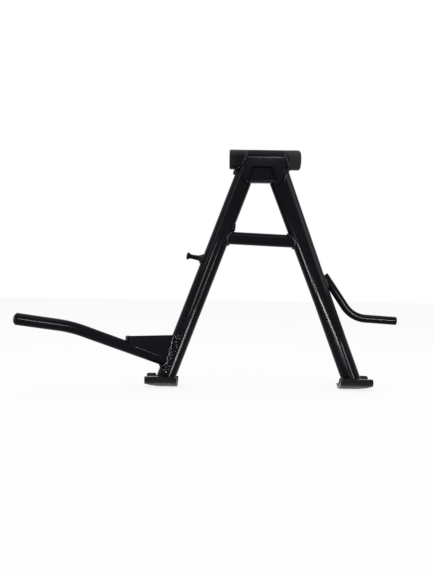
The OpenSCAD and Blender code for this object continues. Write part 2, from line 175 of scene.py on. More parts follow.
def barPlaces(start, first, second, lengthA, lengthB, bendRadius, side):
    # rings for a bar that runs straight, bends once and runs straight again
    turn = first.angle(second)
    tangent = bendRadius * math.tan(turn / 2)
    corner = start + first * lengthA
    startRings, bendRings, endRings = 24, 16, 18
    places = []

    def add(point, direction):
        across = side.cross(direction).normalized()
        places.append(axes(point, across, direction.cross(across), direction))

    straight = lengthA - tangent
    for i in range(startRings + 1):
        add(start + first * straight * i / startRings, first)
    centre = corner - first * tangent
    inward = (second - first * first.dot(second)).normalized()
    for i in range(1, bendRings + 1):
        angle = turn * i / bendRings
        add(centre + first * bendRadius * math.sin(angle)
            + inward * bendRadius * (1 - math.cos(angle)),
            (first * math.cos(angle) + inward * math.sin(angle)).normalized())
    rest = lengthB - tangent
    for i in range(1, endRings + 1):
        add(corner + second * (tangent + rest * i / endRings), second)
    return places


def crumple(bm, amount, size, seed, keep=None):
    # moves vertices along their normals by a smooth noise
    bm.normal_update()
    shift = Vector((seed * 7.3, seed * 3.1, seed * 5.7))
    for v in bm.verts:
        if keep is None or keep(v.co):
            v.co += v.normal * amount * noise.noise(v.co / size + shift)


def addBlob(bm, centre, radius, seed, flatten=0.8):
    rng = random.Random(seed)
    turn = Matrix.Rotation(rng.uniform(0, math.pi), 4, "Z") @ Matrix.Rotation(rng.uniform(0, 2), 4, "X")
    size = Matrix.Diagonal((1, flatten, rng.uniform(0.75, 1.1), 1))
    place = Matrix.Translation(centre) @ turn @ size
    bmesh.ops.create_icosphere(bm, subdivisions=2, radius=radius, matrix=place)


def softenEdges(bm, width, angle=30, segments=2):
    sharp = [e for e in bm.edges if e.is_manifold and e.calc_face_angle(0) > math.radians(angle)]
    bmesh.ops.bevel(bm, geom=sharp, offset=width, offset_type="OFFSET", segments=segments,
                    profile=0.5, affect="EDGES", material=-1, clamp_overlap=True)


def finishPiece(name, bm, materials, nodes, sharpAngle=38):
    bmesh.ops.remove_doubles(bm, verts=bm.verts, dist=0.001)
    bmesh.ops.recalc_face_normals(bm, faces=bm.faces)
    bmesh.ops.scale(bm, vec=(mm, mm, mm), verts=bm.verts)
    for face in bm.faces:
        face.smooth = True
    for edge in bm.edges:
        edge.smooth = not (edge.is_manifold and edge.calc_face_angle(0) > math.radians(sharpAngle))
    mesh = bpy.data.meshes.new(name)
    bm.to_mesh(mesh)
    bm.free()
    for material in materials:
        mesh.materials.append(material)
    piece = bpy.data.objects.new(name, mesh)
    bpy.context.scene.collection.objects.link(piece)
    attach(piece, "root")
    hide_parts(*nodes)
    return piece


# shader node groups: each one puts out masks, heights and roughness only

def newGroup(name, inputs, outputs):
    group = bpy.data.node_groups.new(name, "ShaderNodeTree")
    for label, kind, value in inputs:
        socket = group.interface.new_socket(label, in_out="INPUT", socket_type=kind)
        if value is not None:
            socket.default_value = value
    for label, kind in outputs:
        group.interface.new_socket(label, in_out="OUTPUT", socket_type=kind)
    return group, group.nodes.new("NodeGroupInput"), group.nodes.new("NodeGroupOutput")


def addMath(tree, operation, first, second=None, clamp=False):
    node = tree.nodes.new("ShaderNodeMath")
    node.operation = operation
    node.use_clamp = clamp
    for i, value in enumerate((first, second)):
        if value is None:
            continue
        if isinstance(value, (int, float)):
            node.inputs[i].default_value = value
        else:
            tree.links.new(value, node.inputs[i])
    return node.outputs[0]


def addNoise(tree, vector, scale, detail=2.0, roughness=0.5):
    node = tree.nodes.new("ShaderNodeTexNoise")
    node.inputs["Detail"].default_value = detail
    node.inputs["Roughness"].default_value = roughness
    tree.links.new(vector, node.inputs["Vector"])
    if isinstance(scale, (int, float)):
        node.inputs["Scale"].default_value = scale
    else:
        tree.links.new(scale, node.inputs["Scale"])
    return node.outputs["Fac"]


def addRange(tree, value, low, high, toLow=0.0, toHigh=1.0):
    node = tree.nodes.new("ShaderNodeMapRange")
    node.interpolation_type = "SMOOTHSTEP"
    tree.links.new(value, node.inputs["Value"])
    for label, amount in (("From Min", low), ("From Max", high), ("To Min", toLow), ("To Max", toHigh)):
        if isinstance(amount, (int, float)):
            node.inputs[label].default_value = amount
        else:
            tree.links.new(amount, node.inputs[label])
    return node.outputs["Result"]


def makeEnamelGroup():
    group, given, out = newGroup("enamelSkin", [
        ("Vector", "NodeSocketVector", None),
        ("Peel Scale", "NodeSocketFloat", 420.0),
        ("Gloss Roughness", "NodeSocketFloat", 0.2),
        ("Uneven", "NodeSocketFloat", 0.08),
    ], [("Roughness", "NodeSocketFloat"), ("Height", "NodeSocketFloat"), ("Tone", "NodeSocketFloat")])
    vector = given.outputs["Vector"]
    peel = addNoise(group, vector, given.outputs["Peel Scale"], 1.5, 0.45)
    sag = addNoise(group, vector, 55.0, 2.0, 0.5)
    height = addMath(group, "ADD", addMath(group, "MULTIPLY", peel, 0.55),
                     addMath(group, "MULTIPLY", sag, 0.9))
    cloud = addNoise(group, vector, 32.0, 4.0, 0.6)
    grain = addNoise(group, vector, 1500.0, 2.0, 0.6)
    spread = addMath(group, "MULTIPLY", addRange(group, cloud, 0.35, 0.75), given.outputs["Uneven"])
    rough = addMath(group, "ADD", given.outputs["Gloss Roughness"], spread)
    rough = addMath(group, "ADD", rough, addMath(group, "MULTIPLY", grain, 0.04), clamp=True)
    group.links.new(rough, out.inputs["Roughness"])
    group.links.new(height, out.inputs["Height"])
    group.links.new(addRange(group, cloud, 0.3, 0.8), out.inputs["Tone"])
    return group


def makeWearGroup():
    # dust on what faces up, and paint rubbed off towards the ground
    group, given, out = newGroup("shopWear", [
        ("Vector", "NodeSocketVector", None),
        ("Normal", "NodeSocketVector", None),
        ("Rub Top", "NodeSocketFloat", -0.3035),
        ("Rub Bottom", "NodeSocketFloat", -0.3052),
        ("Dust", "NodeSocketFloat", 0.3),
    ], [("Rubbed", "NodeSocketFloat"), ("Dusty", "NodeSocketFloat"), ("Scratch", "NodeSocketFloat")])
    place = group.nodes.new("ShaderNodeSeparateXYZ")
    group.links.new(given.outputs["Vector"], place.inputs[0])
    facing = group.nodes.new("ShaderNodeSeparateXYZ")
    group.links.new(given.outputs["Normal"], facing.inputs[0])
    low = addRange(group, place.outputs["Z"], given.outputs["Rub Bottom"], given.outputs["Rub Top"], 1.0, 0.0)
    patch = addNoise(group, given.outputs["Vector"], 190.0, 5.0, 0.62)
    fleck = addNoise(group, given.outputs["Vector"], 900.0, 3.0, 0.6)
    rubbed = addMath(group, "MULTIPLY", low, addRange(group, patch, 0.30, 0.62, 0.45, 1.0), clamp=True)
    specks = addRange(group, fleck, 0.66, 0.76)
    up = addRange(group, facing.outputs["Z"], 0.1, 0.95)
    dusty = addMath(group, "MULTIPLY", addMath(group, "MULTIPLY", up, given.outputs["Dust"]),
                    addRange(group, patch, 0.3, 0.7))
    dusty = addMath(group, "ADD", dusty, addMath(group, "MULTIPLY", specks,
                                                 addMath(group, "MULTIPLY", given.outputs["Dust"], 0.35)))
    stretch = group.nodes.new("ShaderNodeMapping")
    stretch.inputs["Scale"].default_value = (1.0, 1.0, 0.06)
    stretch.inputs["Rotation"].default_value = (0.0, math.radians(24), 0.0)
    group.links.new(given.outputs["Vector"], stretch.inputs["Vector"])
    lines = addNoise(group, stretch.outputs[0], 900.0, 2.0, 0.5)
    group.links.new(rubbed, out.inputs["Rubbed"])
    group.links.new(addMath(group, "MINIMUM", dusty, 1.0), out.inputs["Dusty"])
    group.links.new(addRange(group, lines, 0.72, 0.8), out.inputs["Scratch"])
    return group


enamelGroup = makeEnamelGroup()
wearGroup = makeWearGroup()

enamelLooks = {
    "blackEnamel": {"colour": (0.0026, 0.0025, 0.0046, 1), "gloss": 0.09, "uneven": 0.06,
                    "peel": 260.0, "bump": 0.03, "dust": 0.06, "specular": 0.065, "rubTop": -0.3036},
    "tubeEnamel": {"colour": (0.0032, 0.0031, 0.0056, 1), "gloss": 0.11, "uneven": 0.08,
                   "peel": 260.0, "bump": 0.035, "dust": 0.08, "specular": 0.08, "rubTop": -0.3036},
    "weldEnamel": {"colour": (0.0036, 0.0034, 0.0064, 1), "gloss": 0.11, "uneven": 0.10,
                   "peel": 900.0, "bump": 0.20, "dust": 0.08, "specular": 0.16, "rubTop": -0.3036},
    "plateEnamel": {"colour": (0.0040, 0.0046, 0.0075, 1), "gloss": 0.26, "uneven": 0.08,
                    "peel": 320.0, "bump": 0.06, "dust": 0.10, "specular": 0.06, "rubTop": -0.3036},
    "headEnamel": {"colour": (0.0026, 0.0029, 0.0056, 1), "gloss": 0.09, "uneven": 0.04,
                   "peel": 320.0, "bump": 0.012, "dust": 0.05, "specular": 0.07, "rubTop": -0.3036},
    "footEnamel": {"colour": (0.0038, 0.0037, 0.0062, 1), "gloss": 0.14, "uneven": 0.12,
                   "peel": 420.0, "bump": 0.10, "dust": 0.08, "specular": 0.12, "rubTop": -0.2978},
}


wearColours = {"dust": (0.075, 0.072, 0.070, 1), "rubbed": (0.115, 0.112, 0.108, 1)}


def mixColours(tree, factor, first, second):
    node = tree.nodes.new("ShaderNodeMix")
    node.data_type = "RGBA"
    tree.links.new(factor, node.inputs["Factor"])
    for label, value in (("A", first), ("B", second)):
        socket = [s for s in node.inputs if s.name == label and s.type == "RGBA"][0]
        if isinstance(value, tuple):
            socket.default_value = value
        else:
            tree.links.new(value, socket)
    return [s for s in node.outputs if s.type == "RGBA"][0]


def makeEnamel(name, look):
    material = bpy.data.materials.new(name)
    material.use_nodes = True
    tree = material.node_tree
    shader = tree.nodes["Principled BSDF"]
    shader.inputs["Specular IOR Level"].default_value = look["specular"]
    where = tree.nodes.new("ShaderNodeTexCoord")
    facing = tree.nodes.new("ShaderNodeNewGeometry")
    skin = tree.nodes.new("ShaderNodeGroup")
    skin.node_tree = enamelGroup
    skin.inputs["Peel Scale"].default_value = look["peel"]
    skin.inputs["Gloss Roughness"].default_value = look["gloss"]
    skin.inputs["Uneven"].default_value = look["uneven"]
    wear = tree.nodes.new("ShaderNodeGroup")
    wear.node_tree = wearGroup
    wear.inputs["Dust"].default_value = look["dust"]
    wear.inputs["Rub Top"].default_value = look["rubTop"]
    wear.inputs["Rub Bottom"].default_value = look["rubTop"] - 0.0022
    for node in (skin, wear):
        tree.links.new(where.outputs["Object"], node.inputs["Vector"])
    tree.links.new(facing.outputs["Normal"], wear.inputs["Normal"])

    base = look["colour"]
    lighter = tuple(c * 1.7 for c in base[:3]) + (1,)
    colour = mixColours(tree, skin.outputs["Tone"], base, lighter)
    dusted = addMath(tree, "MULTIPLY", wear.outputs["Dusty"], 0.5)
    colour = mixColours(tree, dusted, colour, wearColours["dust"])
    colour = mixColours(tree, wear.outputs["Rubbed"], colour, wearColours["rubbed"])
    tree.links.new(colour, shader.inputs["Base Color"])
    rough = skin.outputs["Roughness"]
    for label, share in (("Dusty", 0.25), ("Rubbed", 0.18), ("Scratch", 0.05)):
        more = addMath(tree, "MULTIPLY", wear.outputs[label], share)
        rough = addMath(tree, "ADD", rough, more, clamp=label == "Scratch")
    tree.links.new(rough, shader.inputs["Roughness"])
    tree.links.new(addMath(tree, "MULTIPLY", wear.outputs["Rubbed"], 0.35), shader.inputs["Metallic"])
    bump = tree.nodes.new("ShaderNodeBump")
    bump.inputs["Strength"].default_value = look["bump"]
    bump.inputs["Distance"].default_value = 0.0006
    tree.links.new(skin.outputs["Height"], bump.inputs["Height"])
    tree.links.new(bump.outputs["Normal"], shader.inputs["Normal"])
    return material


def makeTubeEnamel():
    # the pivot tube's ends are duller and grainier than its middle, the right one most; their lighter gritty
    # colour is partly the duller finish and partly painted sheen, standing in for the dull paint's reflection
    material = makeEnamel("tubeEnamel", enamelLooks["tubeEnamel"])
    tree = material.node_tree
    shader = tree.nodes["Principled BSDF"]
    where = tree.nodes["Texture Coordinate"]
    split = tree.nodes.new("ShaderNodeSeparateXYZ")
    tree.links.new(where.outputs["Object"], split.inputs[0])
    dullSheen = addRange(tree, split.outputs["X"], 0.0285, 0.0325)
    dullSheenLeft = addRange(tree, split.outputs["X"], -0.046, -0.036, 0.45, 0.0)
    dullSheen = addMath(tree, "MAXIMUM", dullSheen, dullSheenLeft)
    roughBefore = shader.inputs["Roughness"].links[0].from_socket
    rough = addMath(tree, "ADD", roughBefore, addMath(tree, "MULTIPLY", dullSheen, 0.30), clamp=True)
    tree.links.new(rough, shader.inputs["Roughness"])
    grit = addNoise(tree, where.outputs["Object"], 520.0, 3.0, 0.6)
    share = addMath(tree, "MULTIPLY", dullSheen, addRange(tree, grit, 0.35, 0.7, 0.35, 1.0))
    colourBefore = shader.inputs["Base Color"].links[0].from_socket
    # lighter grit colour on the ends: partly their duller finish, partly a painted sheen in place of
    # reflection
    tree.links.new(mixColours(tree, share, colourBefore, (0.034, 0.036, 0.032, 1)),
                   shader.inputs["Base Color"])
    return material


def makeBareSteel():
    material = bpy.data.materials.new("boreSteel")
    material.use_nodes = True
    tree = material.node_tree
    shader = tree.nodes["Principled BSDF"]
    where = tree.nodes.new("ShaderNodeTexCoord")
    stretch = tree.nodes.new("ShaderNodeMapping")
    stretch.inputs["Scale"].default_value = (12.0, 1.0, 1.0)
    tree.links.new(where.outputs["Object"], stretch.inputs["Vector"])
    rings = addNoise(tree, stretch.outputs[0], 160.0, 3.0, 0.6)
    ramp = tree.nodes.new("ShaderNodeValToRGB")
    ramp.color_ramp.elements[0].color = (0.10, 0.095, 0.09, 1)
    ramp.color_ramp.elements[1].color = (0.28, 0.27, 0.26, 1)
    tree.links.new(rings, ramp.inputs["Fac"])
    tree.links.new(ramp.outputs["Color"], shader.inputs["Base Color"])
    tree.links.new(addRange(tree, rings, 0.2, 0.8, 0.35, 0.6), shader.inputs["Roughness"])
    shader.inputs["Metallic"].default_value = 0.9
    bump = tree.nodes.new("ShaderNodeBump")
    bump.inputs["Strength"].default_value = 0.2
    bump.inputs["Distance"].default_value = 0.0004
    tree.links.new(rings, bump.inputs["Height"])
    tree.links.new(bump.outputs["Normal"], shader.inputs["Normal"])
    return material


blackEnamel, weldEnamel, plateEnamel, headEnamel, footEnamel = [
    makeEnamel(name, enamelLooks[name])
    for name in ("blackEnamel", "weldEnamel", "plateEnamel", "headEnamel", "footEnamel")]
tubeEnamel = makeTubeEnamel()
boreSteel = makeBareSteel()
print("materials made")


# pivot tube

pivotTube = {
    "length": 95.0,
    "boreRadius": 8.65,
    "leftChamfer": 1.2,
    "rightChamfer": 2.6,
    "boreChamfer": 0.7,
    "steps": 128,
    "rows": 44,
    "grain": 0.16,  # depth of the lumps on the right end
    "grainSize": 2.6,
    "grainStart": 31.0,
    "wobble": 0.05,
    "wobbleSize": 9.0,
}


def makePivotTube(look):
    half = look["length"] / 2
    outer = stand["pivotRadius"]
    bore = look["boreRadius"]
    rows = look["rows"]
    leftEdge, rightEdge = -half + look["leftChamfer"], half - look["rightChamfer"]
    profile = [(leftEdge + (rightEdge - leftEdge) * i / rows, outer) for i in range(rows + 1)]
    profile += [(half - look["rightChamfer"] * 0.25, outer - look["rightChamfer"] * 0.55),
                (half, outer - look["rightChamfer"]), (half, bore + look["boreChamfer"]),
                (half - look["boreChamfer"], bore), (-half + look["boreChamfer"], bore),
                (-half, bore + look["boreChamfer"]), (-half, outer - look["leftChamfer"])]
    bm = bmesh.new()
    points = [bm.verts.new((x, 0, r)) for x, r in profile]
    edges = [bm.edges.new((points[i], points[(i + 1) % len(points)])) for i in range(len(points))]
    bmesh.ops.spin(bm, geom=points + edges, cent=(0, 0, 0), axis=(1, 0, 0), dvec=(0, 0, 0),
                   angle=2 * math.pi, steps=look["steps"], use_merge=True, use_duplicate=False)
    bmesh.ops.recalc_face_normals(bm, faces=bm.faces)
    crumple(bm, look["grain"], look["grainSize"], 3,
            lambda p: p.x > look["grainStart"] and math.hypot(p.y, p.z) > outer - 3)
    crumple(bm, look["wobble"], look["wobbleSize"], 4, lambda p: math.hypot(p.y, p.z) > outer - 1)
    for face in bm.faces:
        middle = face.calc_center_median()
        if math.hypot(middle.y, middle.z) < bore + 0.2:
            face.material_index = 1
    return finishPiece("pivotTube", bm, [tubeEnamel, boreSteel], ["pivot_tube"])


makePivotTube(pivotTube)


# legs

legTubes = {
    "segments": 72,
    "firstSlant": 19.5,  # the even stretch of a leg, measured down its axis from the pivot's height
    "lastSlant": 313.0,
    "ringStep": 2.0,
    "wobble": 0.05,
    "wobbleSize": 16.0,
    "wobbleTop": -18.0,
    "wobbleBottom": -296.0,
    "seatRadius": 11.0,  # inside the pivot tube's wall
    "footSeatRadius": 22.6,  # inside the foot's wall
    "ventRadius": 1.5,
    "ventDrop": 208.5,
    "ventDepth": 9.0,
}


def seatOn(point, down, radius, axisZ, below):
    # slides a point along the leg until it lies inside the neighbour's wall
    drop = math.sqrt(max(radius ** 2 - point.y ** 2, 0.0))
    target = axisZ - drop
    if not below and abs(point.y) >= radius:
        target = axisZ
    return point + down * ((target - point.z) / down.z)


def makeLeg(side, look):
    bm = bmesh.new()
    segments = look["segments"]
    firstSlant, lastSlant = look["firstSlant"], look["lastSlant"]
    count = int((lastSlant - firstSlant) / look["ringStep"])
    slants = [firstSlant - look["ringStep"]]
    slants += [firstSlant + (lastSlant - firstSlant) * i / count for i in range(count + 1)]
    slants += [lastSlant + look["ringStep"]]

    def shape(slant, index):
        place = legPlace(side, slant)
        halfW, halfD = legHalves(side, slant)
        point = ringPoint(place, halfW, halfD, index, segments)
        down = place.to_3x3() @ Vector((0, 0, 1))
        if slant == slants[0]:
            return seatOn(point, down, look["seatRadius"], 0.0, False)
        if slant == slants[-1]:
            return seatOn(point, down, look["footSeatRadius"], footAxisZ, True)
        return point

    sweepRing(bm, segments, slants, shape)
    bmesh.ops.recalc_face_normals(bm, faces=bm.faces)
    crumple(bm, look["wobble"], look["wobbleSize"], 5 + side,
            lambda p: look["wobbleBottom"] < p.z < look["wobbleTop"])
    return bm


def cutVent(bm, look):
    # a small drilled hole in the front of the right leg
    piece = bpy.data.objects.new("ventBlank", bpy.data.meshes.new("ventBlank"))
    bm.to_mesh(piece.data)
    bm.free()
    drill = bmesh.new()
    z = -look["ventDrop"]
    front = Matrix.Translation((legX(right, z), -stand["legRadius"], z))
    bmesh.ops.create_cone(drill, cap_ends=True, segments=24, radius1=look["ventRadius"],
                          radius2=look["ventRadius"], depth=look["ventDepth"],
                          matrix=front @ Matrix.Rotation(math.pi / 2, 4, "X"))
    cutter = bpy.data.objects.new("ventDrill", bpy.data.meshes.new("ventDrill"))
    drill.to_mesh(cutter.data)
    drill.free()
    for item in (piece, cutter):
        bpy.context.scene.collection.objects.link(item)
    cut = piece.modifiers.new("vent", "BOOLEAN")
    cut.operation = "DIFFERENCE"
    cut.solver = "EXACT"
    cut.object = cutter
    bpy.context.view_layer.update()
    done = bmesh.new()
    done.from_object(piece, bpy.context.evaluated_depsgraph_get())
    for item in (piece, cutter):
        bpy.data.objects.remove(item)
    return done


finishPiece("leftLeg", makeLeg(left, legTubes), [blackEnamel], ["left_leg"])
rightLegMesh = cutVent(makeLeg(right, legTubes), legTubes)
finishPiece("rightLeg", rightLegMesh, [blackEnamel], ["right_leg"])
print("legs made")


# cross brace

brace = {
    "radius": 8.5,
    "drop": 106.8,
    "skew": math.radians(2.3),
    "segments": 56,
    "rows": 36,
    "buried": 6.0,  # how far its ends reach into the legs
    "wobble": 0.05,
    "wobbleSize": 12.0,
}
braceAlong = Vector((math.cos(brace["skew"]), 0, -math.sin(brace["skew"])))
braceUp = Vector((math.sin(brace["skew"]), 0, math.cos(brace["skew"])))
braceMiddle = Vector((stand["legShift"], 0, -brace["drop"]))


def makeBrace(look):
    bm = bmesh.new()
    ends = []
    for side in (left, right):
        direction = braceAlong * side
        surface = meet(braceMiddle, direction, 90, lambda p, s=side: insideLeg(s, p))
        ends.append(surface + direction * look["buried"])

    def shape(row, index):
        place = axes(ends[0].lerp(ends[1], row / look["rows"]), -rearward, braceUp, -braceAlong)
        return ringPoint(place, look["radius"], look["radius"], index, look["segments"])

    sweepRing(bm, look["segments"], range(look["rows"] + 1), shape)
    bmesh.ops.recalc_face_normals(bm, faces=bm.faces)
    crumple(bm, look["wobble"], look["wobbleSize"], 9)
    return finishPiece("crossBrace", bm, [blackEnamel], ["cross_brace"])


makeBrace(brace)


# lever bar

lever = {
    "radius": 7.45,
    "rootHeight": 31.5,
    "rootInset": 3.0,  # its first ring lies this far from the leg's axis
    "yaw": math.radians(29),
    "rise": math.radians(19.9),
    "tipRise": math.radians(8.6),
    "run": 138.7,
    "tipRun": 71.0,
    "bendRadius": 165.0,
    "tipRound": 5.0,
    "segments": 56,
    "wobble": 0.08,
    "wobbleSize": 18.0,
}
leverRoot = Vector((legX(left, lever["rootHeight"] - stand["height"]), 0,
                    lever["rootHeight"] - stand["height"]))
leverOut = Vector((-math.cos(lever["yaw"]), -math.sin(lever["yaw"]), 0))
leverFront = Vector((math.sin(lever["yaw"]), -math.cos(lever["yaw"]), 0))
leverUp = Vector((0, 0, 1))
leverFirst = leverOut * math.cos(lever["rise"]) + leverUp * math.sin(lever["rise"])
leverSecond = leverOut * math.cos(lever["tipRise"]) + leverUp * math.sin(lever["tipRise"])
leverPlace = axes(leverRoot, leverOut, leverFront, leverUp)


def roundedEnd(places, radius, edge, steps=8):
    # rings that round off the last edge of a bar
    last = places[-1]
    rings = [(p, radius) for p in places]
    rings[-1] = (last @ Matrix.Translation((0, 0, -edge)), radius)
    for i in range(1, steps + 1):
        angle = math.pi / 2 * i / steps
        rings.append((last @ Matrix.Translation((0, 0, -edge * (1 - math.sin(angle)))),
                      radius - edge * (1 - math.cos(angle))))
    return rings


def makeBar(bm, rings, segments):
    def shape(ring, index):
        return ringPoint(ring[0], ring[1], ring[1], index, segments)

    sweepRing(bm, segments, rings, shape)
    bmesh.ops.recalc_face_normals(bm, faces=bm.faces)


def makeLever(look):
    places = barPlaces(leverRoot + leverFirst * look["rootInset"], leverFirst, leverSecond,
                       look["run"] / math.cos(look["rise"]) - look["rootInset"],
                       look["tipRun"] / math.cos(look["tipRise"]), look["bendRadius"], leverFront)
    bm = bmesh.new()
    makeBar(bm, roundedEnd(places, look["radius"], look["tipRound"]), look["segments"])
    crumple(bm, look["wobble"], look["wobbleSize"], 12)
    return finishPiece("leverBar", bm, [blackEnamel], ["lever_bar"])


makeLever(lever)


# lever gusset

gusset = {
    "thickness": 4.0,
    "topHeight": 69.0,
    "length": 64.5,
    "offset": 5.0,
    "bendRadius": 6.0,
    "flange": 6.0,
    "cornerRadius": 2.5,
    "edgeRound": 0.55,
    "belowAxis": 1.0,  # its lower edge ends inside the lever, this far under the lever's axis
}


def makeGusset(look):
    bm = bmesh.new()
    front = look["offset"] + look["thickness"] / 2
    back = front - look["thickness"]
    bendY = front - look["bendRadius"]
    bendX = look["length"] - look["bendRadius"]
    inner = look["bendRadius"] - look["thickness"]
    outline = [(0, back), (0, front)]
    outline += [(bendX * share, front) for share in (0.25, 0.5, 0.75)]
    outline += [(bendX + look["bendRadius"] * math.sin(a), bendY + look["bendRadius"] * math.cos(a))
                for a in [math.pi / 2 * i / 8 for i in range(9)]]
    outline += [(look["length"], bendY - look["flange"]),
                (look["length"] - look["thickness"], bendY - look["flange"])]
    outline += [(bendX + inner * math.sin(a), bendY + inner * math.cos(a))
                for a in [math.pi / 2 * (8 - i) / 8 for i in range(9)]]
    outline += [(bendX * share, back) for share in (0.75, 0.5, 0.25)]
    top = look["topHeight"] - lever["rootHeight"]
    face = bm.faces.new([bm.verts.new((x, y, -4)) for x, y in outline])  # trimmed off below
    raised = bmesh.ops.extrude_face_region(bm, geom=[face])["geom"]
    for v in raised:
        if isinstance(v, bmesh.types.BMVert):
            v.co.z = top
    slope = math.tan(lever["rise"])
    cut = bmesh.ops.bisect_plane(bm, geom=bm.verts[:] + bm.edges[:] + bm.faces[:],
                                 plane_co=(0, 0, -look["belowAxis"]), plane_no=(slope, 0, -1),
                                 clear_outer=True)["geom_cut"]
    bmesh.ops.edgeloop_fill(bm, edges=[g for g in cut if isinstance(g, bmesh.types.BMEdge)])
    corner = [e for e in bm.edges
              if all(abs(v.co.x - look["length"]) < 0.01 and abs(v.co.z - top) < 0.01 for v in e.verts)]
    bmesh.ops.bevel(bm, geom=corner, offset=look["cornerRadius"], offset_type="OFFSET", segments=5,
                    profile=0.5, affect="EDGES", material=-1)
    bmesh.ops.recalc_face_normals(bm, faces=bm.faces)
    softenEdges(bm, look["edgeRound"], 40)
    bmesh.ops.triangulate(bm, faces=[f for f in bm.faces if len(f.verts) > 4])
    bmesh.ops.transform(bm, matrix=leverPlace, verts=bm.verts)
    return finishPiece("leverGusset", bm, [plateEnamel], ["lever_gusset"], 30)


makeGusset(gusset)
print("lever and gusset made")


# stop rod

stopRod = {
    "radius": 5.5,
    "drop": 153.0,
    "offset": 14.6,
    "depth": 5.0,
    "fall": math.radians(55.9),
    "footFall": math.radians(3.5),
    "length": 68.5,
    "footLength": 59.5,
    "bendRadius": 36.0,
    "tipRound": 0.6,
    "segments": 44,
    "wobble": 0.06,
    "wobbleSize": 14.0,
}
stopTop = Vector((legX(right, -stopRod["drop"]) + stopRod["offset"], stopRod["depth"], -stopRod["drop"]))
stopFirst = Vector((math.cos(stopRod["fall"]), 0, -math.sin(stopRod["fall"])))
stopSecond = Vector((math.cos(stopRod["footFall"]), 0, -math.sin(stopRod["footFall"])))


def makeStopRod(look):
    places = barPlaces(stopTop, stopFirst, stopSecond, look["length"], look["footLength"],
                       look["bendRadius"], rearward)
    bm = bmesh.new()
    makeBar(bm, roundedEnd(places, look["radius"], look["tipRound"], 3), look["segments"])
    crumple(bm, look["wobble"], look["wobbleSize"], 15)
    return finishPiece("stopRod", bm, [blackEnamel], ["stop_rod"])


makeStopRod(stopRod)


# spring hook

springHook = {
    "radius": 3.3,
    "headRadius": 4.8,
    "headThickness": 3.6,
    "length": 21.0,
    "drop": 136.0,
    "tilt": math.radians(11),
    "steps": 40,
    "wobble": 0.12,
    "wobbleSize": 3.5,
}
hookOut = Vector((-math.cos(springHook["tilt"]), 0, math.sin(springHook["tilt"])))
hookUp = Vector((math.sin(springHook["tilt"]), 0, math.cos(springHook["tilt"])))
hookPlace = axes(Vector((legX(left, -springHook["drop"]), 0, -springHook["drop"])),
                 hookUp, hookOut.cross(hookUp), hookOut)


def lathe(bm, profile, steps):
    # spins a profile of (distance along Z, radius) that starts and ends on the axis
    points = [bm.verts.new((r, 0, z)) for z, r in profile]
    edges = [bm.edges.new((points[i], points[i + 1])) for i in range(len(points) - 1)]
    bmesh.ops.spin(bm, geom=points + edges, cent=(0, 0, 0), axis=(0, 0, 1), dvec=(0, 0, 0),
                   angle=2 * math.pi, steps=steps, use_merge=True, use_duplicate=False)
    bmesh.ops.remove_doubles(bm, verts=bm.verts, dist=0.001)


def makeSpringHook(look):
    r, head = look["radius"], look["headRadius"]
    end = stand["legRadius"] + look["length"]
    neck = end - look["headThickness"]
    # a shank with a slight waist, and a head with rounded edges
    profile = [(7, 0), (7, r), (16, r), (20, r * 0.99), (24, r * 0.94), (27, r * 0.93),
               (neck - 1, r * 0.97), (neck - 0.2, r + 0.3), (neck, r + 0.7),
               (neck + 0.05, head - 0.7), (neck + 0.5, head - 0.15), (neck + 1.2, head),
               (end - 1.3, head), (end - 0.5, head - 0.35), (end - 0.05, head - 1.1),
               (end, head - 1.8), (end, 0)]
    bm = bmesh.new()
    lathe(bm, profile, look["steps"])
    bmesh.ops.transform(bm, matrix=hookPlace, verts=bm.verts)
    bmesh.ops.recalc_face_normals(bm, faces=bm.faces)
    crumple(bm, look["wobble"], look["wobbleSize"], 17)
    return finishPiece("springHook", bm, [blackEnamel], ["spring_hook"])


makeSpringHook(springHook)
print("stop rod and hook made")


# feet

feet = {
    "width": 43.0,
    "depth": 46.0,
    "thickness": 4.5,
    "rimHeight": 15.5,
    "cornerRadius": 3.5,
    "crownRadius": 100.0,
    "crownShift": 9.0,  # the lowest line lies towards the other leg
    "leftShift": 10.4,
    "rightShift": 9.0,
    "rearRimStart": 15.5,  # outside the leg's axis
    "rearEdge": 16.0,
    "tongueLength": 3.0,
    "tongueHeight": 5.6,
    "bandSegments": 30,
    "stations": 44,
    "trim": 0.9,  # the rims' own corners are rounded off by this much
    "edgeRound": 1.4,
    "lumps": 0.16,
    "lumpSize": 6.0,
}
footMiddle = {left: legX(left, footAxisZ) - feet["leftShift"],
              right: legX(right, footAxisZ) + feet["rightShift"]}


def ease(value, low, high):
    share = max(0.0, min(1.0, (value - low) / (high - low)))
    return share * share * (3 - 2 * share)


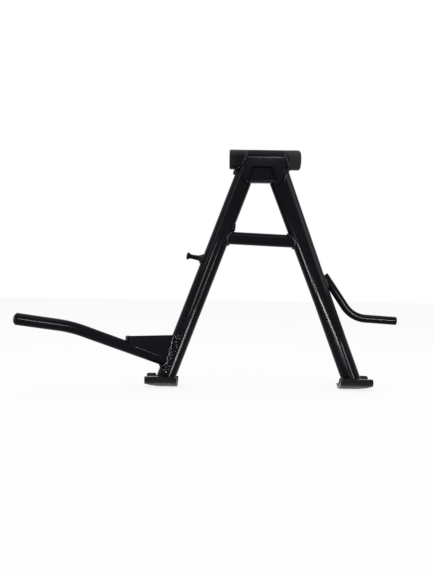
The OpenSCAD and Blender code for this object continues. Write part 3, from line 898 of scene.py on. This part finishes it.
def makeFoot(side, name, node, look):
    # a rolled plate: a band of constant thickness, lofted from its inner end to its outer end
    bm = bmesh.new()
    band = look["bandSegments"]
    segments = 2 * (band + 1)
    rolled = stand["footRadius"]
    top = look["rimHeight"] - stand["height"] - footAxisZ
    halfW = look["width"] / 2
    corner = look["cornerRadius"]
    last = look["stations"]
    rimStart = look["rearRimStart"] + side * (legX(side, top + footAxisZ) - footMiddle[side])
    spots = [-halfW + 2 * halfW * (0.5 - 0.5 * math.cos(math.pi * i / last)) for i in range(last + 1)]
    riseFrom, riseTo = rimStart - 0.4, rimStart + 2.1  # the rear rim's end is rounded between these
    spots += [riseFrom + 0.5 * i for i in range(6)]
    spots = sorted(spots)

    def shape(out, index):
        # out runs from the inner end to the outer end
        over = max(0.0, abs(out) - (halfW - corner))
        front = look["depth"] / 2 - corner + math.sqrt(max(corner ** 2 - over ** 2, 0))
        rimTop = top - look["trim"] * (over / corner) ** 2
        rear = look["rearEdge"] + (front - look["rearEdge"]) * ease(out, riseFrom, riseTo)
        outerSide = index <= band
        share = index / band if outerSide else (segments - 1 - index) / band
        radius = rolled if outerSide else rolled - look["thickness"]
        edge = math.sqrt(radius ** 2 - rimTop ** 2)
        yFront, yRear = min(front, edge), min(rear, edge)
        if side == right and out < -halfW + look["tongueLength"] + 1.2:
            low = look["tongueHeight"] - rolled
            lowEdge = math.sqrt(max(radius ** 2 - low ** 2, 0.0))
            yRear = min(yRear, lowEdge + (yRear - lowEdge) * ease(out, -halfW + 2.0, -halfW + 4.2))
        turnFront, turnRear = -math.asin(yFront / radius), math.asin(yRear / radius)
        turn = turnFront + (turnRear - turnFront) * share
        y, z = radius * math.sin(turn), -radius * math.cos(turn)
        crown = look["crownRadius"] if outerSide else look["crownRadius"] - look["thickness"]
        rise = look["crownRadius"] - math.sqrt(crown ** 2 - (out + look["crownShift"]) ** 2)
        z = max(z, rise - rolled)
        return Vector((footMiddle[side] + side * out, y, footAxisZ + z))

    sweepRing(bm, segments, spots, shape)
    bmesh.ops.remove_doubles(bm, verts=bm.verts, dist=0.01)
    bmesh.ops.recalc_face_normals(bm, faces=bm.faces)
    softenEdges(bm, look["edgeRound"], 42, 4)
    bmesh.ops.triangulate(bm, faces=[f for f in bm.faces if len(f.verts) > 4])
    crumple(bm, look["lumps"], look["lumpSize"], 21 + side)
    return finishPiece(name, bm, [footEnamel], [node], 34)


makeFoot(left, "leftFoot", "left_foot", feet)
makeFoot(right, "rightFoot", "right_foot", feet)
print("feet made")


# head plate: the pressed plate's own solid, remeshed so that its edges are soft

headPlate = {"voxel": 0.55, "smoothRounds": 6, "lumps": 0.015, "lumpSize": 7.0}


def softCopy(node, voxel, rounds):
    source = frame["nodes"][node]
    bm = bmesh.new()
    bm.from_mesh(source.data)
    bmesh.ops.remove_doubles(bm, verts=bm.verts, dist=0.000002)
    mesh = bpy.data.meshes.new(node + "Blank")
    bm.to_mesh(mesh)
    bm.free()
    blank = bpy.data.objects.new(node + "Blank", mesh)
    bpy.context.scene.collection.objects.link(blank)
    remesh = blank.modifiers.new("soften", "REMESH")
    remesh.mode = "VOXEL"
    remesh.voxel_size = voxel * mm
    bpy.context.view_layer.update()
    soft = bmesh.new()
    soft.from_object(blank, bpy.context.evaluated_depsgraph_get())
    bpy.data.objects.remove(blank)
    for _ in range(rounds):
        bmesh.ops.smooth_vert(soft, verts=soft.verts, factor=0.5, use_axis_x=True, use_axis_y=True,
                              use_axis_z=True)
    bmesh.ops.scale(soft, vec=(1 / mm, 1 / mm, 1 / mm), verts=soft.verts)
    return soft


def makeHeadPlate(look):
    bm = softCopy("head_plate", look["voxel"], look["smoothRounds"])
    crumple(bm, look["lumps"], look["lumpSize"], 31)
    return finishPiece("headPlate", bm, [headEnamel], ["head_plate"], 180)


makeHeadPlate(headPlate)
print("head plate made")


# weld beads: rippled runs laid along the joints

beads = {
    "pitch": 2.3,  # distance from one ripple to the next
    "stepsPerRipple": 6,
    "segments": 14,
    "grain": 0.16,
    "grainSize": 1.3,
    "lift": 0.4,  # most runs lie this far over the surface that they are laid on
    "radius": {"brace": 2.2, "head": 2.3, "lever": 2.6, "gussetFront": 2.7, "gussetRear": 2.2,
               "gussetBar": 1.5, "stop": 1.7, "hook": 1.5, "foot": 2.3},
}


def resample(path, step, closed):
    # even spaced points along a path
    points = list(path) + ([path[0]] if closed else [])
    lengths = [0.0]
    for a, b in zip(points, points[1:]):
        lengths.append(lengths[-1] + (b - a).length)
    total = lengths[-1]
    count = max(4, round(total / step))
    found, j = [], 0
    for i in range(count + 1):
        wanted = total * i / count
        while j < len(lengths) - 2 and lengths[j + 1] < wanted:
            j += 1
        span = max(lengths[j + 1] - lengths[j], 1e-6)
        found.append(points[j].lerp(points[j + 1], (wanted - lengths[j]) / span))
    return found


def layBead(bm, path, radius, hub, seed, closed=False, flatten=0.85):
    # a rippled run along the path, its crown turned away from the hub
    look = beads
    points = resample(path, look["pitch"] / look["stepsPerRipple"], closed)
    count = len(points) - 1
    ripples = max(2, round(count / look["stepsPerRipple"]))
    rng = random.Random(seed)
    sizes = [rng.uniform(0.88, 1.12) for _ in range(ripples + 1)]
    if closed:
        sizes[-1] = sizes[0]
    places = []
    for i in range(count + 1):
        if closed:
            before, after = points[(i - 1) % count], points[(i + 1) % count]
        else:
            before, after = points[max(i - 1, 0)], points[min(i + 1, count)]
        along = (after - before).normalized()
        outward = points[i] - Vector(hub)
        outward = (outward - along * outward.dot(along)).normalized()
        turn = i / count * ripples
        which = min(int(turn), ripples - 1)
        dome = math.sin(math.pi * min(max(turn - which, 0.0), 1.0)) ** 0.7
        size = sizes[which] + (sizes[which + 1] - sizes[which]) * (turn - which)
        swell = radius * size * (0.80 + 0.22 * dome)
        if not closed:
            swell *= min(1.0, 0.35 + 0.65 * min(i, count - i) / 4)
        places.append((axes(points[i], outward, along.cross(outward), along), swell))

    def shape(item, index):
        place, swell = item
        turn = 2 * math.pi * index / look["segments"]
        lag = -0.42 * swell * max(0.0, math.cos(turn))  # the crown trails behind, like leaning coins
        return place @ Vector((swell * math.cos(turn), swell * flatten * math.sin(turn), lag))

    sweepRing(bm, look["segments"], places, shape, capped=not closed)


def scatterSpatter(bm, spots, seed):
    rng = random.Random(seed)
    for centre, spread, count, size in spots:
        for _ in range(count):
            off = Vector((rng.gauss(0, 1), rng.gauss(0, 1), rng.gauss(0, 1))) * spread
            addBlob(bm, Vector(centre) + off, size * rng.uniform(0.5, 1.2), rng.random())


def finishBead(name, bm, node, seed):
    bmesh.ops.remove_doubles(bm, verts=bm.verts, dist=0.01)
    bmesh.ops.recalc_face_normals(bm, faces=bm.faces)
    crumple(bm, beads["grain"], beads["grainSize"], seed)
    return finishPiece(name, bm, [weldEnamel], [node], 180)


def tubeJoint(centre, along, across, other, radius, inside, reach, turns):
    # where a round bar's surface meets its neighbour, round the bar
    path = []
    for i in range(turns):
        angle = 2 * math.pi * i / turns
        rim = centre + (across * math.cos(angle) + other * math.sin(angle)) * radius
        hit = meet(rim, along, reach, inside)
        if hit is not None:
            path.append(hit)
    return path


def makeBraceBead(side, name, node, seed, grainSeed):
    path = tubeJoint(braceMiddle, braceAlong * side, braceUp, rearward, brace["radius"] + 0.5,
                     lambda p: insideLeg(side, p, beads["lift"]), 90, 60)
    bm = bmesh.new()
    layBead(bm, path, beads["radius"]["brace"], braceMiddle, seed, closed=True)
    if side == left:
        # a row of blobs on the leg, over the brace
        lump = meet(Vector((stand["legShift"], -2, -91)), Vector((-1, 0, 0)), 90,
                    lambda p: insideLeg(left, p))
        for i in range(4):
            addBlob(bm, lump + Vector((0.35 * i + 0.2, -1.0 * (i % 2), 2.4 * i - 3.5)),
                    1.9 - 0.15 * i, 50 + i)
    finishBead(name, bm, node, grainSeed)


makeBraceBead(left, "braceLeftBead", "brace_left_weld", 41, 1)
makeBraceBead(right, "braceRightBead", "brace_right_weld", 42, 2)

headBeads = {
    "raysFrom": 60,  # down the leg's axis, looking up at the pivot tube
    "widthAt": 15,  # the bead takes the leg's width and depth from here
    "start": math.radians(-38),
    "sweep": math.radians(256),
    "steps": 56,
    "blobs": [(-39.6, -3.0, -16.2), (-39.0, 1.0, -14.6), (-40.3, -1.2, -18.6)],  # under the tube's left end
    "blobRadius": 2.7,
}


def makeHeadBead(side, name, node, look, seed):
    # round a leg's upper end, open at the front where the plate covers it
    centre, across, rear, down = legDirections(side, look["raysFrom"])
    halfW, halfD = legHalves(side, look["widthAt"])
    path = []
    for i in range(look["steps"] + 1):
        angle = look["start"] + look["sweep"] * i / look["steps"]
        rim = (centre + across * (halfW + beads["lift"]) * math.cos(angle)
               + rear * (halfD + beads["lift"]) * math.sin(angle))
        hit = meet(rim, -down, 90, insidePivot)
        if hit is not None:
            path.append(hit)
    bm = bmesh.new()
    layBead(bm, path, beads["radius"]["head"], Vector((legX(side, 0), 0, -6)), seed)
    if side == left:
        for i, place in enumerate(look["blobs"]):
            addBlob(bm, Vector(place), look["blobRadius"] - 0.1 * i, 70 + i)
    finishBead(name, bm, node, seed)


makeHeadBead(left, "leftHeadBead", "left_leg_head_weld", headBeads, 43)
makeHeadBead(right, "rightHeadBead", "right_leg_head_weld", headBeads, 44)

plateEdge = {
    "upperZ": 11.0,  # the side edge of the plate itself runs from here to lowerZ
    "lowerZ": -33.0,
    "topZ": 9.0,
    "topHalf": 21.5,
    "midDrop": 5.3,
    "midHalf": 29.0,
    "lowZ": -9.0,
    "thinTopZ": -10.0,
    "footZ": -31.0,  # where the thin run on the leg ends
    "footHalf": 23.0,
    "radius": 2.9,
    "thinRadius": 1.7,
}


def makePlateBead(side, name, node, look, seed):
    # a thick run down the plate's edge on the pivot tube, and a thin one on down the leg
    path = []
    for i in range(26):
        z = look["topZ"] + (look["lowZ"] - look["topZ"]) * i / 25
        share = min(1.0, (look["upperZ"] - z) / (look["upperZ"] + look["midDrop"]))
        half = look["topHalf"] + (look["midHalf"] - look["topHalf"]) * share
        reach = stand["pivotRadius"] + 0.9
        path.append(Vector((side * (half + 0.6), -math.sqrt(reach ** 2 - z ** 2), z)))
    thin = []
    for i in range(22):
        z = look["thinTopZ"] + (look["footZ"] - look["thinTopZ"]) * i / 21
        share = (-z - look["midDrop"]) / (-look["lowerZ"] - look["midDrop"])
        x = side * (look["midHalf"] + (look["footHalf"] - look["midHalf"]) * share + 1.2)
        hit = meet(Vector((x, -40, z)), rearward, 40, lambda p: insideLeg(side, p))
        if hit is not None:
            thin.append(hit)
    bm = bmesh.new()
    layBead(bm, path, look["radius"], Vector((side * 26, 0, 0)), seed, flatten=0.8)
    layBead(bm, thin, look["thinRadius"], Vector((side * 24, 6, -20)), seed + 20)
    finishBead(name, bm, node, seed)


makePlateBead(left, "plateLeftBead", "head_plate_left_weld", plateEdge, 45)
makePlateBead(right, "plateRightBead", "head_plate_right_weld", plateEdge, 46)

leverLumps = {
    "count": 75,
    "firstSlant": 252,
    "lastSlant": 309,
    "middle": -5.6,  # across the leg
    "spread": 2.8,
    "smallest": 0.9,
    "largest": 2.3,
}


def makeLeverBead(look):
    start = leverRoot + leverFirst * 60
    upper = leverFront.cross(leverFirst).normalized()
    if upper.z < 0:
        upper = -upper
    path = tubeJoint(start, -leverFirst, upper, leverFront, lever["radius"] + 0.6,
                     lambda p: insideLeg(left, p, 0.5), 70, 60)
    bm = bmesh.new()
    layBead(bm, path, beads["radius"]["lever"], start, 47, closed=True)
    frontOfLeg = [p for p in path if p.y < -5]
    scatterSpatter(bm, [(p, 1.3, 3, 1.1) for p in frontOfLeg[::3]], 5)
    rng = random.Random(77)
    for i in range(look["count"]):
        # lumps of weld run down the leg's front from the gusset to the foot
        slant = rng.uniform(look["firstSlant"], look["lastSlant"])
        off = max(-11.5, min(1.0, rng.gauss(look["middle"], look["spread"])))
        front = math.sqrt(stand["legRadius"] ** 2 - off ** 2)
        addBlob(bm, legPlace(left, slant) @ Vector((off, front - 0.4, 0)),
                rng.uniform(look["smallest"], look["largest"]), 100 + i, 0.7)
    finishBead("leverBead", bm, "lever_weld_bead", 3)


makeLeverBead(leverLumps)


def gussetJoint(offset, low, high, count):
    # where a face of the gusset meets the leg
    path = []
    for i in range(count):
        z = low + (high - low) * i / (count - 1)
        start = leverPlace @ Vector((45, offset, z))
        hit = meet(start, -leverOut, 60, lambda p: insideLeg(left, p, beads["lift"]))
        if hit is not None:
            path.append(hit)
    return path


def makeGussetLegBead():
    # one run on each face of the gusset, at the leg
    face = gusset["offset"] + gusset["thickness"] / 2
    back = gusset["offset"] - gusset["thickness"] / 2
    top = gusset["topHeight"] - lever["rootHeight"] - 1
    frontPath = gussetJoint(face + 0.7, 9, top, 24)
    rearPath = gussetJoint(back - 0.7, 15, top, 24)
    bm = bmesh.new()
    layBead(bm, frontPath, beads["radius"]["gussetFront"], leverPlace @ Vector((30, -20, 20)), 48)
    layBead(bm, rearPath, beads["radius"]["gussetRear"], leverPlace @ Vector((30, 20, 20)), 49)
    scatterSpatter(bm, [(p + Vector((1.5, -0.6, 0)), 1.5, 3, 1.2) for p in frontPath[::3]], 6)
    finishBead("gussetLegBead", bm, "gusset_leg_weld", 4)


def makeGussetBarBead():
    # along the gusset's lower edge, on the lever's front
    face = gusset["offset"] + gusset["thickness"] / 2
    start, run, steps = 17, 40, 29
    path = []
    for i in range(steps + 1):
        x = start + run * i / steps
        path.append(leverPlace @ Vector((x, face + 0.2, x * math.tan(lever["rise"]) + 3.0)))
    bm = bmesh.new()
    layBead(bm, path, beads["radius"]["gussetBar"], leverPlace @ Vector((30, 0, 0)), 51)
    finishBead("gussetBarBead", bm, "gusset_bar_weld", 5)


makeGussetLegBead()
makeGussetBarBead()


def makeStopBead():
    # round the rod where it lies against the leg, as one open run
    upper = rearward.cross(stopFirst).normalized()
    radius = stopRod["radius"] + 0.3
    found = []
    for i in range(61):
        angle = 2 * math.pi * i / 60
        rim = stopTop + (upper * math.cos(angle) + rearward * math.sin(angle)) * radius
        if insideLeg(right, rim + stopFirst, beads["lift"]):
            hit = meet(rim + stopFirst * 45, -stopFirst, 45, lambda p: insideLeg(right, p, beads["lift"]))
            if hit is not None:
                found.append((angle, hit))
    count = len(found)
    gapAt = max(range(count), key=lambda i: (found[(i + 1) % count][0] - found[i][0]) % (2 * math.pi))
    ordered = [found[(gapAt + 1 + i) % count][1] for i in range(count)]
    bm = bmesh.new()
    layBead(bm, ordered, beads["radius"]["stop"], stopTop + stopFirst * 10 + Vector((4, 0, 0)), 52)
    finishBead("stopRodBead", bm, "stop_rod_weld", 6)


makeStopBead()

hookBead = {
    # (distance from the leg's axis, radius) of the lumpy cone round the hook's root
    "cone": [(8, 0), (8, 6.3), (11, 6.2), (12.5, 5.9), (14.0, 5.1), (15.5, 4.5), (17.0, 4.0),
             (18.0, 3.6), (18.2, 0)],
    "lumps": 0.7,
    "lumpSize": 2.4,
    "rimRadius": 5.4,
}


def makeHookBead(look):
    bm = bmesh.new()
    lathe(bm, look["cone"], 48)
    bmesh.ops.transform(bm, matrix=hookPlace, verts=bm.verts)
    bmesh.ops.recalc_face_normals(bm, faces=bm.faces)
    crumple(bm, look["lumps"], look["lumpSize"], 61)
    rim = tubeJoint(hookPlace @ Vector((0, 0, 40)), -hookOut, hookUp, rearward, look["rimRadius"],
                    lambda p: insideLeg(left, p, 0.3), 40, 40)
    layBead(bm, rim, beads["radius"]["hook"], hookPlace @ Vector((0, 0, 30)), 53, closed=True)
    finishBead("springHookBead", bm, "spring_hook_weld", 7)


makeHookBead(hookBead)

footBeads = {"raysFrom": 285, "margin": 2.5}  # kept this far inside the foot's ends


def insideFootWall(point):
    # true from a little above the foot's inner face downwards
    inner = stand["footRadius"] - feet["thickness"]
    return point.z < footAxisZ and math.hypot(point.y, point.z - footAxisZ) > inner - beads["lift"]


def makeFootBead(side, name, node, look, seed):
    centre, across, rear, down = legDirections(side, look["raysFrom"])
    path = tubeJoint(centre, down, across, rear, stand["legRadius"] + 0.5, insideFootWall, 60, 60)
    limit = feet["width"] / 2 - look["margin"]
    low, high = footMiddle[side] - limit, footMiddle[side] + limit
    path = [Vector((min(max(p.x, low), high), p.y, p.z)) for p in path]
    bm = bmesh.new()
    layBead(bm, path, beads["radius"]["foot"], centre, seed, closed=True)
    finishBead(name, bm, node, seed)


makeFootBead(left, "leftFootBead", "left_foot_weld", footBeads, 54)
makeFootBead(right, "rightFootBead", "right_foot_weld", footBeads, 55)
print("weld beads made")


# camera

view = {
    "place": (-0.0624, -0.950, -0.1731),
    "lens": 44.23,
    "roll": math.radians(0.84),
}
cameraData = bpy.data.cameras.new("photoCamera")
cameraData.lens = view["lens"]
cameraData.sensor_width = 36
cameraData.clip_start = 0.01
cameraData.clip_end = 50
camera = bpy.data.objects.new("photoCamera", cameraData)
bpy.context.scene.collection.objects.link(camera)
camera.matrix_world = (Matrix.Translation(view["place"]) @ Matrix.Rotation(math.pi / 2, 4, "X")
                       @ Matrix.Rotation(view["roll"], 4, "Z"))
bpy.context.scene.camera = camera


# floor, lamps and the plain pale surroundings

studio = {
    "floorZ": -0.3052,
    "floorSize": 14.0,
    "floorColour": (0.92, 0.92, 0.92, 1),
    "shadowShare": 0.16,  # how much of the floor's own shading is seen
    "surroundLevel": 0.75,  # what the surroundings give to matt surfaces
    "topPlace": (0.0, -0.4, 1.6),
    "topTarget": (0, 0, -0.15),
    "topSize": (1.8, 1.8),
    "topEnergy": 13,
}


def seenRays(tree):
    # 1 where the camera, a reflection or glass looks at the surface
    path = tree.nodes.new("ShaderNodeLightPath")
    seen = addMath(tree, "MAXIMUM", path.outputs["Is Camera Ray"], path.outputs["Is Glossy Ray"])
    return addMath(tree, "MAXIMUM", seen, path.outputs["Is Transmission Ray"])


def makeFloor(look):
    bm = bmesh.new()
    bmesh.ops.create_grid(bm, x_segments=4, y_segments=4, size=look["floorSize"] / 2)
    mesh = bpy.data.meshes.new("studioFloor")
    bm.to_mesh(mesh)
    bm.free()
    floor = bpy.data.objects.new("studioFloor", mesh)
    floor.location = (0, 0, look["floorZ"])
    bpy.context.scene.collection.objects.link(floor)
    material = bpy.data.materials.new("studioPaper")
    material.use_nodes = True
    tree = material.node_tree
    tree.nodes.remove(tree.nodes["Principled BSDF"])
    output = tree.nodes["Material Output"]
    paper = tree.nodes.new("ShaderNodeBsdfDiffuse")
    paper.inputs["Color"].default_value = look["floorColour"]
    glow = tree.nodes.new("ShaderNodeEmission")
    glow.inputs["Strength"].default_value = 1.0
    share = addMath(tree, "MULTIPLY", seenRays(tree), 1 - look["shadowShare"])
    mix = tree.nodes.new("ShaderNodeMixShader")
    tree.links.new(share, mix.inputs["Fac"])
    tree.links.new(paper.outputs[0], mix.inputs[1])
    tree.links.new(glow.outputs[0], mix.inputs[2])
    tree.links.new(mix.outputs[0], output.inputs["Surface"])
    mesh.materials.append(material)


def makeSurround(look):
    world = bpy.data.worlds.new("studioAir")
    world.use_nodes = True
    tree = world.node_tree
    air = tree.nodes["Background"]
    air.inputs["Strength"].default_value = 1.0
    tree.links.new(addMath(tree, "MAXIMUM", seenRays(tree), look["surroundLevel"]), air.inputs["Color"])
    bpy.context.scene.world = world


def newLamp(name, size, energy):
    data = bpy.data.lights.new(name, "AREA")
    data.shape = "RECTANGLE"
    data.size, data.size_y = size
    data.energy = energy
    lamp = bpy.data.objects.new(name, data)
    bpy.context.scene.collection.objects.link(lamp)
    return lamp


def makeSoftTop(look):
    lamp = newLamp("softTop", look["topSize"], look["topEnergy"])
    lamp.location = look["topPlace"]
    lamp.rotation_mode = "QUATERNION"
    aim = Vector(look["topTarget"]) - Vector(look["topPlace"])
    lamp.rotation_quaternion = aim.to_track_quat("-Z", "Y")


def mirrorLamp(name, spot, along, turn, distance, size, level, tilt, lit):
    # a card of light, placed so that the camera sees it mirrored in a round bar: spot is on the
    # bar (mm), turn the angle round the bar from the camera, to the right of the bar's run
    spot = Vector(spot) * mm
    toCamera = (Vector(view["place"]) - spot).normalized()
    share = toCamera.dot(along)
    flat = toCamera - along * share
    toLamp = Matrix.Rotation(math.radians(-turn), 3, along) @ flat - along * share
    toLamp.normalize()
    lamp = newLamp(name, size, level * math.pi * size[0] * size[1])
    across = toLamp.cross(along).normalized()
    lamp.matrix_world = (axes(spot + toLamp * distance, across.cross(toLamp), across, toLamp)
                         @ Matrix.Rotation(math.radians(tilt), 4, "Z"))
    lamp.visible_camera = False
    lamp.visible_diffuse = False  # it only shows as a reflection
    receivers = bpy.data.collections.new(name + "Receivers")
    for piece in lit:
        receivers.objects.link(bpy.data.objects[piece])
    lamp.light_linking.receiver_collection = receivers
    lamp.light_linking.blocker_collection = receivers  # the floor doesn't cut the card off


makeFloor(studio)
makeSurround(studio)
makeSoftTop(studio)
downLeft = Vector((-leanSin, 0, -leanCos))
downRight = Vector((leanSin, 0, -leanCos))
alongPivot = Vector((1, 0, 0))
leverTipSpot = tuple(leverRoot + leverOut * 178 + leverUp * 56)  # on the lever's far run
stopFootSpot = tuple(stopTop + stopFirst * 66 + stopSecond * 32)  # on the rod's nearly level run
leftWelds = ["leftFootBead", "leverBead", "gussetLegBead"]
headWelds = ["plateLeftBead", "plateRightBead"]
allWelds = [piece.name for piece in bpy.data.objects if piece.name.endswith("Bead")]
# name, place on the bar, run of the bar, turn, distance, size, level, tilt, what it is mirrored in
cards = [
    ("leftLow", (-113, 0, -250), downLeft, 34, 0.50, (0.125, 0.10), 330, 0, ["leftLeg"] + leftWelds),
    ("leftMidRight", (-83, 0, -170), downLeft, 38, 0.50, (0.15, 0.06), 27, 0, ["leftLeg"]),
    ("leftMidLeft", (-79, 0, -162), downLeft, -15, 0.40, (0.14, 0.04), 36, 25, ["leftLeg", "braceLeftBead"]),
    ("leftHigh", (-50, 0, -75), downLeft, -56, 0.60, (0.26, 0.20), 3, 0, ["leftLeg"]),
    ("rightMid", (64, 0, -145), downRight, -44, 0.45, (0.11, 0.08), 60, 0, ["rightLeg", "braceRightBead"]),
    ("rightLow", (92, 0, -220), downRight, -12, 0.40, (0.315, 0.048), 122, 66,
     ["rightLeg", "rightFootBead", "stopRodBead"]),
    ("rightEnd", (109, 0, -268), downRight, 36, 0.12, (0.062, 0.018), 34, 0, ["rightLeg", "rightFootBead"]),
    ("rightHigh", (40, 0, -75), downRight, 80, 0.60, (0.36, 0.36), 3.8, 0, ["rightLeg", "rightHeadBead"]),
    ("headHigh", (-1, 0, 0), alongPivot, 29, 0.50, (0.075, 0.030), 22, 0, ["headPlate"] + headWelds),
    ("headHighEdge", (14, 0, 0), alongPivot, 29, 0.50, (0.018, 0.030), 45, 0, ["headPlate"]),
    ("leverTip", leverTipSpot, -leverSecond, 6, 0.45, (0.10, 0.05), 60, 0, ["leverBar"]),
    ("stopFoot", stopFootSpot, stopSecond, 4, 0.45, (0.09, 0.05), 105, 0, ["stopRod"]),
    ("rightRim", (121, -24, -290), alongPivot, -8, 0.45, (0.09, 0.06), 90, 0, ["rightFoot"]),
    ("leftRim", (-130, -24, -290), alongPivot, -8, 0.45, (0.09, 0.06), 70, 0, ["leftFoot"]),
    ("weldFront", (-20, 0, -120), downLeft, 20, 0.90, (0.45, 0.35), 32, 0, allWelds),
    ("weldLever", (-112, 0, -255), downLeft, 0, 0.60, (0.34, 0.26), 120, 0, leftWelds),
]
for card in cards:
    mirrorLamp(*card)
bpy.context.scene.view_settings.view_transform = "Standard"
print("studio made")
